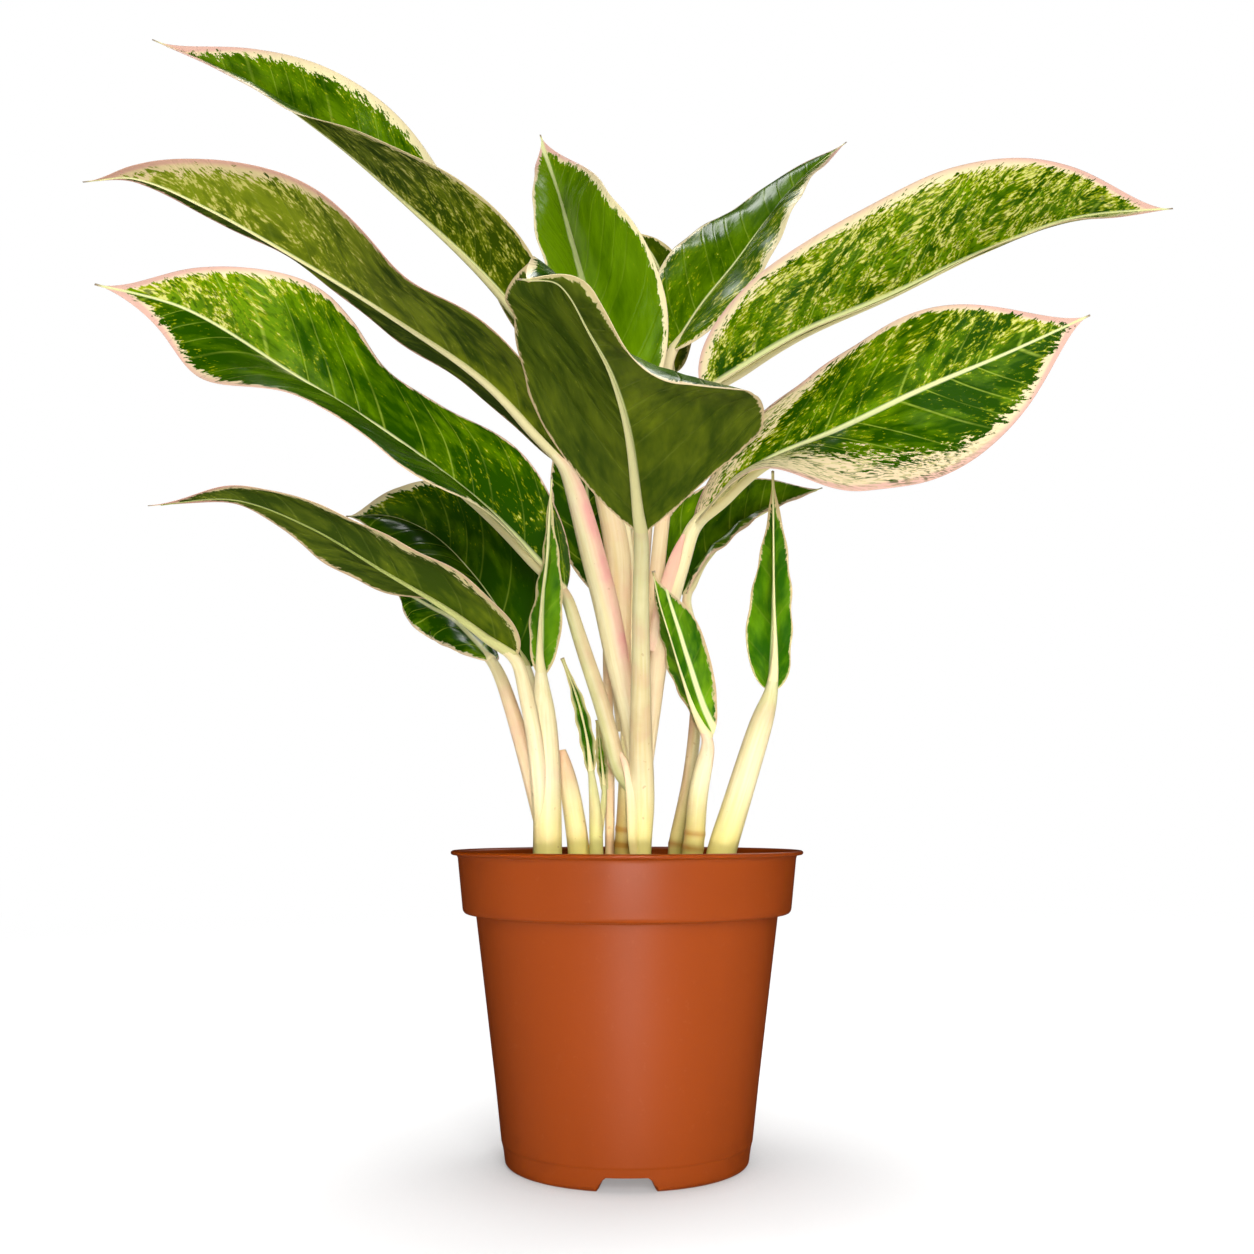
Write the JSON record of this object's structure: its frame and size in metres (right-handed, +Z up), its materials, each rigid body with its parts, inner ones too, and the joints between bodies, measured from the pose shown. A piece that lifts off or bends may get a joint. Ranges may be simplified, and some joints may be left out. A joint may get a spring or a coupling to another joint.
{
  "type": "potted chinese evergreen",
  "caption": "Leafy houseplant with broad pointed variegated leaves on pale stalks, standing in soil in a tapered nursery pot with a rim band and a notched foot.",
  "frame": {"origin": "middle of the pot's underside, on the plane it stands on", "axes": "+Z up along the pot's axis, -Y towards the side with the leaf that arches forwards, +X towards the two long leaves on the right; +Y is the shallow direction of the plant"},
  "size_m": [0.4631, 0.3289, 0.4876],
  "materials": {
    "terracotta_plastic": "satin, terracotta-coloured",
    "potting_soil": "dark crumbly potting mix",
    "leaf_blade": "glossy green with cream flecks and margin",
    "young_leaf": "glossy fresh green with a cream margin",
    "leaf_stalk": "smooth cream with a pink blush"
  },
  "bodies": {
    "root": {"pot": "terracotta_plastic", "soil": "potting_soil", "leaf_a_blade": "leaf_blade", "leaf_b_blade": "leaf_blade", "leaf_c_blade": "leaf_blade", "leaf_d_blade": "leaf_blade", "leaf_e_blade": "leaf_blade", "leaf_f_blade": "leaf_blade", "leaf_g_blade": "leaf_blade", "leaf_h_blade": "leaf_blade", "leaf_i_blade": "leaf_blade", "leaf_j_blade": "leaf_blade", "leaf_k_blade": "leaf_blade", "leaf_l_blade": "leaf_blade", "leaf_m_blade": "leaf_blade", "leaf_n_blade": "leaf_blade", "young_1_blade": "young_leaf", "young_2_blade": "young_leaf", "young_3_blade": "young_leaf", "young_4_blade": "young_leaf", "young_5_blade": "young_leaf", "stalks_left": "leaf_stalk", "stalks_centre": "leaf_stalk", "stalks_young_2": "leaf_stalk", "stalk_leaf_n": "leaf_stalk", "stalk_leaf_m": "leaf_stalk", "stalk_young_3": "leaf_stalk", "stalk_young_4": "leaf_stalk", "stub_sheath": "leaf_stalk"}
  },
  "joints": []
}
